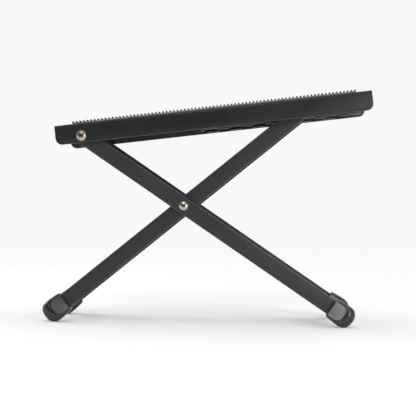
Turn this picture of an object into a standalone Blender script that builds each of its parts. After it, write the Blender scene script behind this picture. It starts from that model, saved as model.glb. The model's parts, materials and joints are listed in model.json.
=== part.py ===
"""Folding guitar footrest: a sheet steel foot plate on two crossing leg frames.

Lengths are in metres and +Z is up. The footrest stands on the plane z = 0 with its near side
towards -Y. It is drawn at one of its middle heights, with the plate sloping up towards +X.
"""
import math

import bmesh
import bpy
from mathutils import Matrix, Vector

mm = 0.001

# Working clearances
seat_gap = 0.3 * mm
cut_overrun = 2.0 * mm

# Foot plate, folded from one sheet with a flange down each long side
plate_length = 300.0 * mm
plate_width = 110.0 * mm
sheet_thickness = 1.5 * mm
flange_depth = 18.5 * mm
fold_radius = 2.2 * mm
flange_corner_radius = 6.5 * mm
plate_pitch = math.radians(7.25)
plate_pivot_from_end = 24.7 * mm
plate_pivot_below_top = 11.8 * mm

# Rubber mat, glued on the plate, with rows of studs across it
mat_length = 269.0 * mm
mat_width = 103.0 * mm
mat_end_margin = 15.5 * mm
mat_base = 0.9 * mm
stud_height = 1.7 * mm
stud_width = 1.9 * mm
stud_pitch = 3.42 * mm

# Leg frames, of flat bar. Reaches are measured from the centre pivot.
strip_width = 15.0 * mm
strip_thickness = 3.0 * mm
strip_edge_bevel = 0.4 * mm
outer_lean = math.radians(33.6)
inner_lean = math.radians(39.7)
outer_upper_reach = 116.5 * mm
outer_mouth_reach = 168.2 * mm
catch_below_pivot_line = 1.0 * mm

# Spacing of the layers across the footrest
plate_spacer_thickness = 3.2 * mm
centre_washer_thickness = 1.6 * mm

# Cross bars, welded between the strips of a frame
cross_bar_radius = 4.0 * mm
catch_bar_radius = 3.5 * mm
weld_size = 1.8 * mm
outer_bar_above_boot = 8.2 * mm
inner_bar_above_boot = 14.3 * mm

# Notched guide rails under the plate, in which the catch bar runs
rail_thickness = 1.5 * mm
rail_side_clearance = 0.5 * mm
rail_top_flange = 13.0 * mm
rail_lip = 4.0 * mm
rail_drop_below_flange = 1.0 * mm
rail_end_margin = 4.0 * mm
slot_clearance = 0.4 * mm
lowest_notch_before_flat = 3.9 * mm
notches_up = 2
notches_down = 2
notch_roof_web = 1.2 * mm
notch_ramp = 3.2 * mm
travel_past_notch = 2.0 * mm
lip_recess_count = 6
lip_recess_length = 12.0 * mm
lip_recess_depth = 1.2 * mm
lip_recess_slant = 0.6 * mm
lip_recess_before_bar = 9.5 * mm

# Rivets that hold the rails
rivet_radius = 2.0 * mm
rivet_head_radius = 3.8 * mm
rivet_head_height = 1.4 * mm
rivet_dome_radius_share = 0.6
rivet_dome_height_share = 0.9
rivet_sink_depth = 1.0 * mm
rivet_sink_radius = 3.3 * mm
rivet_place_shares = (0.12, 0.5, 0.88)

# Pivot screws with domed heads and hexagon sockets
plate_screw_radius = 3.0 * mm
plate_screw_head_radius = 5.25 * mm
plate_screw_head_height = 3.2 * mm
plate_screw_socket = 4.0 * mm
centre_screw_radius = 2.5 * mm
centre_screw_head_radius = 4.75 * mm
centre_screw_head_height = 2.6 * mm
centre_screw_socket = 3.0 * mm
socket_depth_share = 0.6
screw_end_past_nut = 0.8 * mm
pivot_clearance = 0.3 * mm
spacer_rim = 3.2 * mm
washer_rim = 3.4 * mm

# Nuts: a round pressed nut in each outer leg, and a locknut at each end of the centre pivot
press_nut_radius = 4.8 * mm
press_nut_proud = 1.0 * mm
press_nut_seat_depth = 1.6 * mm
lock_nut_flats = 8.0 * mm
lock_nut_height = 4.0 * mm
lock_nut_collar_height = 1.0 * mm
lock_nut_collar_radius = 3.7 * mm

# Rubber boots on the lower ends of the legs
boot_length = 24.8 * mm
boot_width = 21.8 * mm
boot_thickness = 13.0 * mm
boot_pocket_depth = 13.0 * mm
boot_corner_radius = 4.2 * mm
boot_flat_depth = 0.5 * mm
# Each cross section as shares of the boot's length, width and thickness
boot_section_shares = (
    (0.00, 0.85, 0.88),
    (0.04, 0.90, 0.94),
    (0.18, 0.95, 0.98),
    (0.42, 1.00, 1.00),
    (0.68, 1.00, 1.00),
    (0.80, 0.93, 0.95),
    (0.90, 0.74, 0.80),
    (0.96, 0.52, 0.60),
    (1.00, 0.26, 0.34),
)

# How finely round shapes are cut
round_steps = 24
fillet_steps = 5
bar_steps = 20
path_steps = 18

# Places worked out from the sizes above
delta_rest = outer_lean + plate_pitch
beta_rest = inner_lean - plate_pitch
fold_rest = delta_rest + beta_rest
inner_upper_reach = (
    outer_upper_reach * math.sin(delta_rest) - catch_below_pivot_line
) / math.sin(beta_rest)
plate_follow_ratio = delta_rest / fold_rest

flange_inner = plate_width / 2 - sheet_thickness
outer_leg_face = flange_inner - plate_spacer_thickness - 2 * seat_gap
outer_leg_inner = outer_leg_face - strip_thickness
inner_leg_face = outer_leg_inner - centre_washer_thickness - 2 * seat_gap
inner_leg_inner = inner_leg_face - strip_thickness
nut_face = inner_leg_inner - seat_gap
centre_screw_tip = nut_face - lock_nut_height - lock_nut_collar_height - screw_end_past_nut
rail_face = centre_screw_tip - rail_side_clearance


def boot_reach(lean):
    """How far below its mouth a boot reaches, on a leg that leans by this angle."""
    return max(
        length_share * boot_length * math.sin(lean) + width_share * boot_width / 2 * math.cos(lean)
        for length_share, width_share, _ in boot_section_shares
    )


floor_drop = outer_mouth_reach * math.sin(outer_lean) + boot_reach(outer_lean) - boot_flat_depth
inner_mouth_reach = (floor_drop + boot_flat_depth - boot_reach(inner_lean)) / math.sin(inner_lean)
centre_pivot = Vector((0.0, 0.0, floor_drop))
plate_pivot = centre_pivot + outer_upper_reach * Vector((-math.cos(outer_lean), 0.0, math.sin(outer_lean)))


def catch_place(fold):
    """Where the catch bar stands in the plate's frame, along and above the plate pivot's line.

    fold is the angle between the leg frames, 0 when they lie flat. The plate turns in
    proportion to it.
    """
    delta = delta_rest + plate_follow_ratio * (fold - fold_rest)
    beta = fold - delta
    along = outer_upper_reach * math.cos(delta) + inner_upper_reach * math.cos(beta)
    above = inner_upper_reach * math.sin(beta) - outer_upper_reach * math.sin(delta)
    return along, above


def fold_at(distance):
    """The angle between the frames when the catch bar is this far from the plate pivot."""
    cosine = (outer_upper_reach**2 + inner_upper_reach**2 - distance**2) / (
        2 * outer_upper_reach * inner_upper_reach
    )
    return math.pi - math.acos(cosine)


catch_rest = catch_place(fold_rest)
catch_flat = catch_place(0.0)
notch_pitch = (catch_flat[0] - catch_rest[0] - lowest_notch_before_flat) / notches_down
notch_folds = [
    fold_at(catch_rest[0] + step * notch_pitch) for step in range(-notches_up, notches_down + 1)
]
highest_fold = fold_at(catch_rest[0] - notches_up * notch_pitch - travel_past_notch)


def clear_scene():
    for old in list(bpy.data.objects):
        bpy.data.objects.remove(old, do_unlink=True)


def make_material(name, colour, roughness, metallic):
    made = bpy.data.materials.new(name)
    made.use_nodes = True
    shader = made.node_tree.nodes["Principled BSDF"]
    shader.inputs["Base Color"].default_value = (*colour, 1.0)
    shader.inputs["Roughness"].default_value = roughness
    shader.inputs["Metallic"].default_value = metallic
    return made


def finish_mesh(bm, name, smooth_degrees):
    bmesh.ops.recalc_face_normals(bm, faces=bm.faces)
    mesh = bpy.data.meshes.new(name)
    bm.to_mesh(mesh)
    bm.free()
    if smooth_degrees:
        mesh.shade_smooth()
        mesh.set_sharp_from_angle(angle=math.radians(smooth_degrees))
    return mesh


def place(name, mesh, parent, material, location=(0.0, 0.0, 0.0)):
    piece = bpy.data.objects.new(name, mesh)
    bpy.context.scene.collection.objects.link(piece)
    piece.parent = parent
    piece.location = location
    if material:
        mesh.materials.append(material)
    return piece


def make_empty(name, location, turn, parent):
    empty = bpy.data.objects.new(name, None)
    bpy.context.scene.collection.objects.link(empty)
    empty.location = location
    empty.rotation_euler = (0.0, turn, 0.0)
    empty.parent = parent
    return empty


def extruded(name, outline, low_y, high_y, smooth_degrees=0):
    """A closed outline of (x, z) points, carried from one y to the other."""
    bm = bmesh.new()
    face = bm.faces.new([bm.verts.new((x, low_y, z)) for x, z in outline])
    grown = bmesh.ops.extrude_face_region(bm, geom=[face])
    moved = [item for item in grown["geom"] if isinstance(item, bmesh.types.BMVert)]
    bmesh.ops.translate(bm, verts=moved, vec=(0.0, high_y - low_y, 0.0))
    return finish_mesh(bm, name, smooth_degrees)


def turned(name, profile, steps, axis="Y", smooth_degrees=40):
    """A profile of (radius, height) points spun about an axis. Radius 0 closes an end."""
    bm = bmesh.new()
    points = [bm.verts.new((radius, 0.0, height)) for radius, height in profile]
    edges = [bm.edges.new(pair) for pair in zip(points, points[1:])]
    if profile[0][0] > 0:
        edges.append(bm.edges.new((points[-1], points[0])))
    bmesh.ops.spin(
        bm,
        geom=points + edges,
        cent=(0.0, 0.0, 0.0),
        axis=(0.0, 0.0, 1.0),
        angle=math.tau,
        steps=steps,
        use_merge=True,
    )
    bmesh.ops.remove_doubles(bm, verts=bm.verts, dist=seat_gap / 100)
    if axis == "Y":
        bm.transform(Matrix.Rotation(-math.pi / 2, 4, "X"))
    return finish_mesh(bm, name, smooth_degrees)


def arc(centre_x, centre_z, radius, start, end, steps):
    """Points on a circle from one angle to another, both ends included."""
    return [
        (
            centre_x + radius * math.cos(start + (end - start) * step / steps),
            centre_z + radius * math.sin(start + (end - start) * step / steps),
        )
        for step in range(steps + 1)
    ]


def box_outline(low_x, low_z, high_x, high_z):
    return [(low_x, low_z), (high_x, low_z), (high_x, high_z), (low_x, high_z)]


def hexagon(across_flats):
    return arc(0.0, 0.0, across_flats / math.sqrt(3), 0.0, math.tau * 5 / 6, 5)


def make_cutter(name, mesh, parent, location=(0.0, 0.0, 0.0)):
    cutter = place(name, mesh, parent, None, location)
    cutter.hide_render = True
    cutter.display_type = "WIRE"
    return cutter


def cut(piece, cutter):
    boolean = piece.modifiers.new(cutter.name, "BOOLEAN")
    boolean.operation = "DIFFERENCE"
    boolean.object = cutter


def round_cutter(name, radius, low, high, parent, location, axis="Y"):
    profile = [(0.0, low), (radius, low), (radius, high), (0.0, high)]
    return make_cutter(name, turned(name, profile, round_steps, axis), parent, location)


def side_name(side):
    return "near" if side < 0 else "far"


def layer(side, inner, outer):
    """The two y limits of a layer that spans inner to outer on one side."""
    return (-outer, -inner) if side < 0 else (inner, outer)


def leg_strip(frame_name, side, face, upper_reach, mouth_reach, frame, steel):
    """A flat bar with a round upper end and a square lower end that stands in its boot."""
    low_y, high_y = layer(side, face - strip_thickness, face)
    half = strip_width / 2
    lower_end = mouth_reach + boot_pocket_depth - seat_gap
    outline = arc(-upper_reach, 0.0, half, math.pi / 2, math.pi * 3 / 2, round_steps // 2)
    outline += [(lower_end, -half), (lower_end, half)]
    name = f"{frame_name}_leg_{side_name(side)}"
    strip = place(name, extruded(name, outline, low_y, high_y, 30), frame, steel)
    bevel = strip.modifiers.new("rounded edges", "BEVEL")
    bevel.width = strip_edge_bevel
    bevel.segments = 1
    bevel.limit_method = "ANGLE"
    bevel.angle_limit = math.radians(60)
    hole = round_cutter(
        f"{name}_centre_hole",
        centre_screw_radius + pivot_clearance,
        low_y - cut_overrun,
        high_y + cut_overrun,
        frame,
        (0.0, 0.0, 0.0),
    )
    cut(strip, hole)
    return strip


def boot_ring(bm, x, half_z, half_y, centre_y):
    """One rounded cross section of a boot, square to the leg."""
    radius = min(boot_corner_radius, half_z, half_y)
    verts = []
    for turn, sign_z, sign_y in ((0, 1, 1), (1, 1, -1), (2, -1, -1), (3, -1, 1)):
        for z, y in arc(
            sign_z * (half_z - radius),
            sign_y * (half_y - radius),
            radius,
            math.pi / 2 * (1 - turn),
            math.pi / 2 * -turn,
            fillet_steps - 1,
        ):
            verts.append(bm.verts.new((x, centre_y + y, z)))
    return verts


def boot(frame_name, side, face, mouth_reach, frame, rubber, floor_cutter):
    """A moulded boot: a sleeve that flares into a rounded sole, with a pocket for the leg."""
    centre_y = side * (face - strip_thickness / 2)
    name = f"{frame_name}_boot_{side_name(side)}"
    bm = bmesh.new()
    rings = [
        boot_ring(
            bm,
            mouth_reach + length_share * boot_length,
            width_share * boot_width / 2,
            thickness_share * boot_thickness / 2,
            centre_y,
        )
        for length_share, width_share, thickness_share in boot_section_shares
    ]
    for ring, following in zip(rings, rings[1:]):
        for index in range(len(ring)):
            after = (index + 1) % len(ring)
            bm.faces.new((ring[index], ring[after], following[after], following[index]))
    bm.faces.new(rings[0])
    bm.faces.new(list(reversed(rings[-1])))
    bmesh.ops.remove_doubles(bm, verts=bm.verts, dist=seat_gap / 10)
    piece = place(name, finish_mesh(bm, name, 50), frame, rubber)
    half_z = strip_width / 2 + seat_gap
    half_y = strip_thickness / 2 + seat_gap
    pocket = box_outline(mouth_reach - cut_overrun, -half_z, mouth_reach + boot_pocket_depth, half_z)
    pocket_name = f"{name}_pocket"
    pocket_mesh = extruded(pocket_name, pocket, centre_y - half_y, centre_y + half_y)
    cut(piece, make_cutter(pocket_name, pocket_mesh, frame))
    cut(piece, floor_cutter)
    return piece


def cross_bar(name, half_length, radius, weld, frame, location, steel):
    """A round bar with a weld bead round each end."""
    bead = radius + weld
    profile = [
        (0.0, -half_length),
        (bead, -half_length),
        (bead, -half_length + weld / 3),
        (radius, -half_length + weld),
        (radius, half_length - weld),
        (bead, half_length - weld / 3),
        (bead, half_length),
        (0.0, half_length),
    ]
    return place(name, turned(name, profile, bar_steps), frame, steel, location)


def pivot_screw(name, side, seat, tip, radius, head_radius, head_height, socket, frame, location, steel):
    """A screw whose domed head stands outside seat and whose plain shank runs in to tip."""
    dome = [
        (head_radius * math.cos(angle), seat + head_height * math.sin(angle))
        for angle in (math.pi / 2 * step / fillet_steps for step in range(fillet_steps))
    ]
    dome.append((0.0, seat + head_height))
    profile = [(0.0, tip), (radius, tip), (radius, seat)] + dome
    if side < 0:
        profile = [(along_radius, -height) for along_radius, height in profile]
    screw = place(name, turned(name, profile, round_steps), frame, steel, location)
    low_y, high_y = layer(
        side, seat + head_height * (1 - socket_depth_share), seat + head_height + cut_overrun
    )
    socket_name = f"{name}_socket"
    socket_mesh = extruded(socket_name, hexagon(socket), low_y, high_y)
    cut(screw, make_cutter(socket_name, socket_mesh, frame, location))
    return screw


def ring(name, side, inner_y, outer_y, bore, rim, frame, location, material):
    """A washer or spacer that spans inner_y to outer_y on one side."""
    low_y, high_y = layer(side, inner_y, outer_y)
    profile = [(bore, low_y), (rim, low_y), (rim, high_y), (bore, high_y)]
    return place(name, turned(name, profile, round_steps), frame, material, location)


def lock_nut(name, side, face, frame, steel):
    """A hexagon nut with a round collar on the side away from the leg."""
    low_y, high_y = layer(side, face - lock_nut_height, face)
    nut = place(name, extruded(name, hexagon(lock_nut_flats), low_y, high_y), frame, steel)
    collar_name = f"{name}_collar"
    collar_low, collar_high = layer(
        side, face - lock_nut_height - lock_nut_collar_height, face - lock_nut_height / 2
    )
    collar_profile = [
        (0.0, collar_low),
        (lock_nut_collar_radius, collar_low),
        (lock_nut_collar_radius, collar_high),
        (0.0, collar_high),
    ]
    collar = make_cutter(collar_name, turned(collar_name, collar_profile, round_steps), frame)
    union = nut.modifiers.new("collar", "BOOLEAN")
    union.operation = "UNION"
    union.object = collar
    bore = round_cutter(
        f"{name}_bore",
        centre_screw_radius + pivot_clearance,
        collar_low - cut_overrun if side > 0 else low_y - cut_overrun,
        high_y + cut_overrun if side > 0 else collar_high + lock_nut_height,
        frame,
        (0.0, 0.0, 0.0),
    )
    cut(nut, bore)
    return nut


def foot_plate(plate, steel):
    """The sheet with its flanges, in the plate pivot's frame: x along the plate, z square to it."""
    left = -plate_pivot_from_end
    right = left + plate_length
    top = plate_pivot_below_top
    bottom = top - flange_depth
    corner = flange_corner_radius
    outline = [(right, top), (left, top)]
    outline += arc(left + corner, bottom + corner, corner, math.pi, math.pi * 3 / 2, fillet_steps)
    outline += arc(right - corner, bottom + corner, corner, -math.pi / 2, 0.0, fillet_steps)
    half = plate_width / 2
    mesh = extruded("foot_plate", outline, -half, half, 30)
    bm = bmesh.new()
    bm.from_mesh(mesh)
    folds = [
        edge
        for edge in bm.edges
        if all(abs(vert.co.z - top) < seat_gap for vert in edge.verts)
        and abs(edge.verts[0].co.y - edge.verts[1].co.y) < seat_gap
    ]
    bmesh.ops.bevel(
        bm, geom=folds, offset=fold_radius, offset_type="OFFSET", segments=fillet_steps, profile=0.5,
        affect="EDGES",
    )
    bm.to_mesh(mesh)
    bm.free()
    sheet = place("foot_plate", mesh, plate, steel)
    hollow_top = top - sheet_thickness
    hollow = box_outline(left - cut_overrun, bottom - cut_overrun, right + cut_overrun, hollow_top)
    hollow_mesh = extruded("plate_hollow", hollow, -flange_inner, flange_inner)
    cut(sheet, make_cutter("plate_hollow", hollow_mesh, plate))
    for side in (-1, 1):
        low_y, high_y = layer(side, flange_inner - cut_overrun, half + cut_overrun)
        hole = round_cutter(
            f"plate_hole_{side_name(side)}",
            plate_screw_radius + pivot_clearance,
            low_y,
            high_y,
            plate,
            (0.0, 0.0, 0.0),
        )
        cut(sheet, hole)
    return sheet


def rubber_mat(plate, rubber):
    """The mat, with each row of studs drawn as one rib across it."""
    low_x = mat_end_margin - plate_pivot_from_end
    high_x = low_x + mat_length
    base_low = plate_pivot_below_top + seat_gap
    base_top = base_low + mat_base
    stud_top = base_top + stud_height
    rows = int((mat_length - stud_width) / stud_pitch) + 1
    first = low_x + (mat_length - (rows - 1) * stud_pitch) / 2
    outline = [(low_x, base_low), (high_x, base_low), (high_x, base_top)]
    for row in reversed(range(rows)):
        centre = first + row * stud_pitch
        outline += [
            (centre + stud_width / 2, base_top),
            (centre + stud_width / 3, stud_top),
            (centre - stud_width / 3, stud_top),
            (centre - stud_width / 2, base_top),
        ]
    outline.append((low_x, base_top))
    return place("rubber_mat", extruded("rubber_mat", outline, -mat_width / 2, mat_width / 2), plate, rubber)


def slot_outline():
    """The guide slot: the path that the catch bar follows, a clearance wider than the bar."""
    reach = catch_bar_radius + slot_clearance
    path = [catch_place(highest_fold * (1 - step / path_steps)) for step in range(path_steps + 1)]
    upper = [(along, above + reach) for along, above in path]
    lower = [(along, above - reach) for along, above in reversed(path)]
    left_end = arc(*path[0], reach, -math.pi / 2, -math.pi * 3 / 2, round_steps // 2)
    right_end = arc(*path[-1], reach, math.pi / 2, -math.pi / 2, round_steps // 2)
    return left_end + upper[1:-1] + right_end + lower[1:-1]


def notch_outline(fold, roof):
    """One notch over the slot: a ramp, a round seat for the bar and a steep far wall."""
    along, above = catch_place(fold)
    reach = catch_bar_radius + slot_clearance
    seat = arc(along, roof - reach, reach, math.pi * 5 / 6, 0.0, round_steps // 3)
    return [(along + reach, above), (along - reach - notch_ramp, above)] + seat


def guide_rail(side, plate, steel):
    """A channel under the plate: top flange, slotted web and a recessed lower lip."""
    name = f"guide_rail_{side_name(side)}"
    underside = plate_pivot_below_top - sheet_thickness
    top = underside - seat_gap
    bottom = plate_pivot_below_top - flange_depth - rail_drop_below_flange
    first_recess = catch_rest[0] - lip_recess_before_bar
    first_recess += (notches_down + 1 - lip_recess_count) * notch_pitch
    low_x = first_recess - lip_recess_length - rail_end_margin
    high_x = catch_flat[0] + catch_bar_radius + slot_clearance + rail_end_margin
    web_in = rail_face - rail_thickness
    section = [
        (rail_face, bottom),
        (rail_face, top),
        (rail_face - rail_top_flange, top),
        (rail_face - rail_top_flange, top - rail_thickness),
        (web_in, top - rail_thickness),
        (web_in, bottom + rail_thickness),
        (web_in - rail_lip, bottom + rail_thickness),
        (web_in - rail_lip, bottom),
    ]
    bm = bmesh.new()
    face = bm.faces.new([bm.verts.new((low_x, side * y, z)) for y, z in section])
    grown = bmesh.ops.extrude_face_region(bm, geom=[face])
    moved = [item for item in grown["geom"] if isinstance(item, bmesh.types.BMVert)]
    bmesh.ops.translate(bm, verts=moved, vec=(high_x - low_x, 0.0, 0.0))
    rail = place(name, finish_mesh(bm, name, 0), plate, steel)
    low_y, high_y = layer(side, web_in - cut_overrun, rail_face + cut_overrun)
    slot_mesh = extruded(f"{name}_slot", slot_outline(), low_y, high_y)
    cut(rail, make_cutter(f"{name}_slot", slot_mesh, plate))
    roof = top - rail_thickness - notch_roof_web
    for index, fold in enumerate(notch_folds):
        notch_name = f"{name}_notch_{index + 1}"
        notch_mesh = extruded(notch_name, notch_outline(fold, roof), low_y, high_y)
        cut(rail, make_cutter(notch_name, notch_mesh, plate))
    lip_low, lip_high = layer(side, web_in - rail_lip - cut_overrun, rail_face + cut_overrun)
    for index in range(lip_recess_count):
        right = first_recess + index * notch_pitch
        left = right - lip_recess_length
        recess = [
            (left - lip_recess_slant, bottom - cut_overrun),
            (right - lip_recess_slant, bottom - cut_overrun),
            (right, bottom + lip_recess_depth),
            (left, bottom + lip_recess_depth),
        ]
        recess_name = f"{name}_recess_{index + 1}"
        recess_mesh = extruded(recess_name, recess, lip_low, lip_high)
        cut(rail, make_cutter(recess_name, recess_mesh, plate))
    return rail, low_x, high_x


def rail_rivets(rails, sheet, plate, steel):
    """Solid rivets through the sheet and the rails' top flanges, flush under the mat."""
    top = plate_pivot_below_top
    flange_low = top - sheet_thickness - seat_gap - rail_thickness
    head_top = flange_low - seat_gap
    profile = [
        (0.0, head_top - rivet_head_height),
        (rivet_head_radius * rivet_dome_radius_share, head_top - rivet_head_height * rivet_dome_height_share),
        (rivet_head_radius, head_top),
        (rivet_radius, head_top),
        (rivet_radius, top - rivet_sink_depth),
        (rivet_sink_radius, top),
        (0.0, top),
    ]
    hole_profile = [
        (0.0, flange_low - cut_overrun),
        (rivet_radius + seat_gap, flange_low - cut_overrun),
        (rivet_radius + seat_gap, top - rivet_sink_depth - seat_gap),
        (rivet_sink_radius + seat_gap, top),
        (rivet_sink_radius + seat_gap, top + cut_overrun),
        (0.0, top + cut_overrun),
    ]
    across = rail_face - rail_thickness - (rail_top_flange - rail_thickness) / 2
    for side, (rail, low_x, high_x) in rails.items():
        for index, share in enumerate(rivet_place_shares):
            name = f"rail_rivet_{side_name(side)}_{index + 1}"
            spot = (low_x + share * (high_x - low_x), side * across, 0.0)
            place(name, turned(name, profile, round_steps // 2, "Z"), plate, steel, spot)
            hole_mesh = turned(f"{name}_hole", hole_profile, round_steps // 2, "Z")
            hole = make_cutter(f"{name}_hole", hole_mesh, plate, spot)
            cut(sheet, hole)
            cut(rail, hole)


def press_nut_seat(strip, side, frame, location):
    """The stepped hole in an outer leg for the plate screw and its pressed nut."""
    low_y, high_y = layer(side, outer_leg_inner - cut_overrun, outer_leg_face + cut_overrun)
    through = round_cutter(
        f"{strip.name}_plate_hole", plate_screw_radius + pivot_clearance, low_y, high_y, frame, location
    )
    cut(strip, through)
    low_y, high_y = layer(side, outer_leg_inner - cut_overrun, outer_leg_inner + press_nut_seat_depth)
    seat = round_cutter(
        f"{strip.name}_nut_seat", press_nut_radius + seat_gap, low_y, high_y, frame, location
    )
    cut(strip, seat)


def build_footrest():
    clear_scene()
    black_steel = make_material("black_powder_coat", (0.022, 0.022, 0.024), 0.42, 0.0)
    rail_steel = make_material("rail_powder_coat", (0.025, 0.025, 0.027), 0.45, 0.0)
    plate_steel = make_material("plate_powder_coat", (0.024, 0.024, 0.026), 0.40, 0.0)
    mat_rubber = make_material("mat_rubber", (0.018, 0.018, 0.018), 0.75, 0.0)
    boot_rubber = make_material("boot_rubber", (0.075, 0.077, 0.080), 0.60, 0.0)
    nickel = make_material("nickel_plate", (0.62, 0.58, 0.52), 0.22, 1.0)
    zinc = make_material("zinc_plate", (0.55, 0.55, 0.54), 0.35, 1.0)
    nylon = make_material("black_nylon", (0.03, 0.03, 0.03), 0.5, 0.0)

    footrest = make_empty("footrest", (0.0, 0.0, 0.0), 0.0, None)
    outer = make_empty("outer_frame", centre_pivot, outer_lean, footrest)
    inner = make_empty("inner_frame", centre_pivot, math.pi - inner_lean, footrest)
    plate = make_empty("plate", plate_pivot, -plate_pitch, footrest)

    reach = plate_length
    ground = box_outline(-reach, -reach, reach, 0.0)
    floor_cutter = make_cutter("floor", extruded("floor", ground, -reach, reach), footrest)

    rails = {}
    for side in (-1, 1):
        where = side_name(side)
        outer_strip = leg_strip("outer", side, outer_leg_face, outer_upper_reach, outer_mouth_reach,
                                outer, black_steel)
        pivot_spot = (-outer_upper_reach, 0.0, 0.0)
        press_nut_seat(outer_strip, side, outer, pivot_spot)
        leg_strip("inner", side, inner_leg_face, inner_upper_reach, inner_mouth_reach, inner, black_steel)
        boot("outer", side, outer_leg_face, outer_mouth_reach, outer, boot_rubber, floor_cutter)
        boot("inner", side, inner_leg_face, inner_mouth_reach, inner, boot_rubber, floor_cutter)

        # Plate pivot: screw, spacer and pressed nut ride on the outer frame
        press_nut_inner = outer_leg_inner - press_nut_proud
        pivot_screw(f"plate_screw_{where}", side, plate_width / 2 + seat_gap, press_nut_inner,
                    plate_screw_radius, plate_screw_head_radius, plate_screw_head_height,
                    plate_screw_socket, outer, pivot_spot, nickel)
        ring(f"plate_spacer_{where}", side, outer_leg_face + seat_gap, flange_inner - seat_gap,
             plate_screw_radius + pivot_clearance, plate_screw_radius + spacer_rim, outer,
             pivot_spot, nylon)
        ring(f"press_nut_{where}", side, press_nut_inner,
             outer_leg_inner + press_nut_seat_depth - seat_gap,
             plate_screw_radius + pivot_clearance, press_nut_radius, outer, pivot_spot, zinc)

        # Centre pivot: screw, washer and locknut
        pivot_screw(f"centre_screw_{where}", side, outer_leg_face + seat_gap, centre_screw_tip,
                    centre_screw_radius, centre_screw_head_radius, centre_screw_head_height,
                    centre_screw_socket, outer, (0.0, 0.0, 0.0), nickel)
        ring(f"centre_washer_{where}", side, inner_leg_face + seat_gap, outer_leg_inner - seat_gap,
             centre_screw_radius + pivot_clearance, centre_screw_radius + washer_rim, outer,
             (0.0, 0.0, 0.0), nylon)
        lock_nut(f"centre_nut_{where}", side, nut_face, outer, zinc)

        rails[side] = guide_rail(side, plate, rail_steel)

    cross_bar("outer_cross_bar", outer_leg_inner - seat_gap, cross_bar_radius, weld_size, outer,
              (outer_mouth_reach - outer_bar_above_boot, 0.0, 0.0), black_steel)
    cross_bar("inner_cross_bar", inner_leg_inner - seat_gap, cross_bar_radius, weld_size, inner,
              (inner_mouth_reach - inner_bar_above_boot, 0.0, 0.0), black_steel)
    cross_bar("catch_bar", inner_leg_inner - seat_gap, catch_bar_radius, weld_size, inner,
              (-inner_upper_reach, 0.0, 0.0), black_steel)
    sheet = foot_plate(plate, plate_steel)
    rail_rivets(rails, sheet, plate, zinc)
    rubber_mat(plate, mat_rubber)

    # The origin goes below the middle of the footrest, on the floor
    bpy.context.view_layer.update()
    depsgraph = bpy.context.evaluated_depsgraph_get()
    spans = []
    for piece in bpy.data.objects:
        if piece.type == "MESH" and not piece.hide_render:
            solid = piece.evaluated_get(depsgraph)
            spans += [(solid.matrix_world @ vert.co).x for vert in solid.data.vertices]
    footrest.location.x = -(min(spans) + max(spans)) / 2
    bpy.context.view_layer.update()


build_footrest()
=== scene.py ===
# Looks for the folding guitar footrest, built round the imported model.
import json
import math

import bpy
from mathutils import Matrix, Vector


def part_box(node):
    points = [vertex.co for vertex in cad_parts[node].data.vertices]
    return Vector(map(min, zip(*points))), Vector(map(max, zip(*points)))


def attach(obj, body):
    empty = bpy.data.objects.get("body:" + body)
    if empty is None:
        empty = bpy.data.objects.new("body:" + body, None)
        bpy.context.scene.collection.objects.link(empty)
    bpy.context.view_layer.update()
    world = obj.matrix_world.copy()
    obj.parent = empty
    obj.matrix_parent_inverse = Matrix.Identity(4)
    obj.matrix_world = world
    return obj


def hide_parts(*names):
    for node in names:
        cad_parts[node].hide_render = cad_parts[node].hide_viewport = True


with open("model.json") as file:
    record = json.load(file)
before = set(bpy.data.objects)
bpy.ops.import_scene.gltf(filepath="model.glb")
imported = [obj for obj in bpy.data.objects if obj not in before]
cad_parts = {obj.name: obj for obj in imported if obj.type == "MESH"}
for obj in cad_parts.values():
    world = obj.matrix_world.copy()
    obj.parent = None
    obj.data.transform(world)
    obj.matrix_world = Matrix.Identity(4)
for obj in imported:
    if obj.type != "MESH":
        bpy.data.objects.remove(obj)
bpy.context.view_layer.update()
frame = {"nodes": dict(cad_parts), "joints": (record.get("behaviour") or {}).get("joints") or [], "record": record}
print("frame loaded:", len(frame["nodes"]), "nodes")

mm = 0.001
tiny = 0.01 * mm  # places closer than this count as the same
mergeGap = 0.002 * mm
sharpAngle = 50  # degrees from which edges are rounded, where a piece says nothing else
shadeAngle = 30  # degrees up to which faces are shaded as one, likewise
joints = {joint["name"]: joint for joint in frame["joints"]}
coupling = frame["record"]["behaviour"]["couplings"][0]
sides = {"near": -1, "far": 1}

# The three drawing frames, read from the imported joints
centrePivot = Vector(joints["leg_fold"]["pos_m"])
platePivot = Vector(joints["plate_tilt"]["pos_m"])
catchLow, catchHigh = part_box("catch_bar")
catchCentre = (catchLow + catchHigh) / 2
outerLean = math.atan2(platePivot.z - centrePivot.z, centrePivot.x - platePivot.x)
innerLean = math.atan2(catchCentre.z - centrePivot.z, catchCentre.x - centrePivot.x)
platePitch = coupling["ratio"] * (outerLean + innerLean) - outerLean
outerFrame = Matrix.Translation(centrePivot) @ Matrix.Rotation(outerLean, 4, "Y")
innerFrame = Matrix.Translation(centrePivot) @ Matrix.Rotation(math.pi - innerLean, 4, "Y")
plateFrame = Matrix.Translation(platePivot) @ Matrix.Rotation(-platePitch, 4, "Y")
legFrames = {"outer": outerFrame, "inner": innerFrame}


# Small helpers for working as by hand

def objectMode():
    if bpy.context.object and bpy.context.object.mode != "OBJECT":
        bpy.ops.object.mode_set(mode="OBJECT")


def deselectAll():
    objectMode()
    bpy.ops.object.select_all(action="DESELECT")


def takeUp(piece):
    deselectAll()
    piece.select_set(True)
    bpy.context.view_layer.objects.active = piece


def editAll(piece):
    takeUp(piece)
    bpy.ops.object.mode_set(mode="EDIT")
    bpy.ops.mesh.select_all(action="SELECT")


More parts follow.
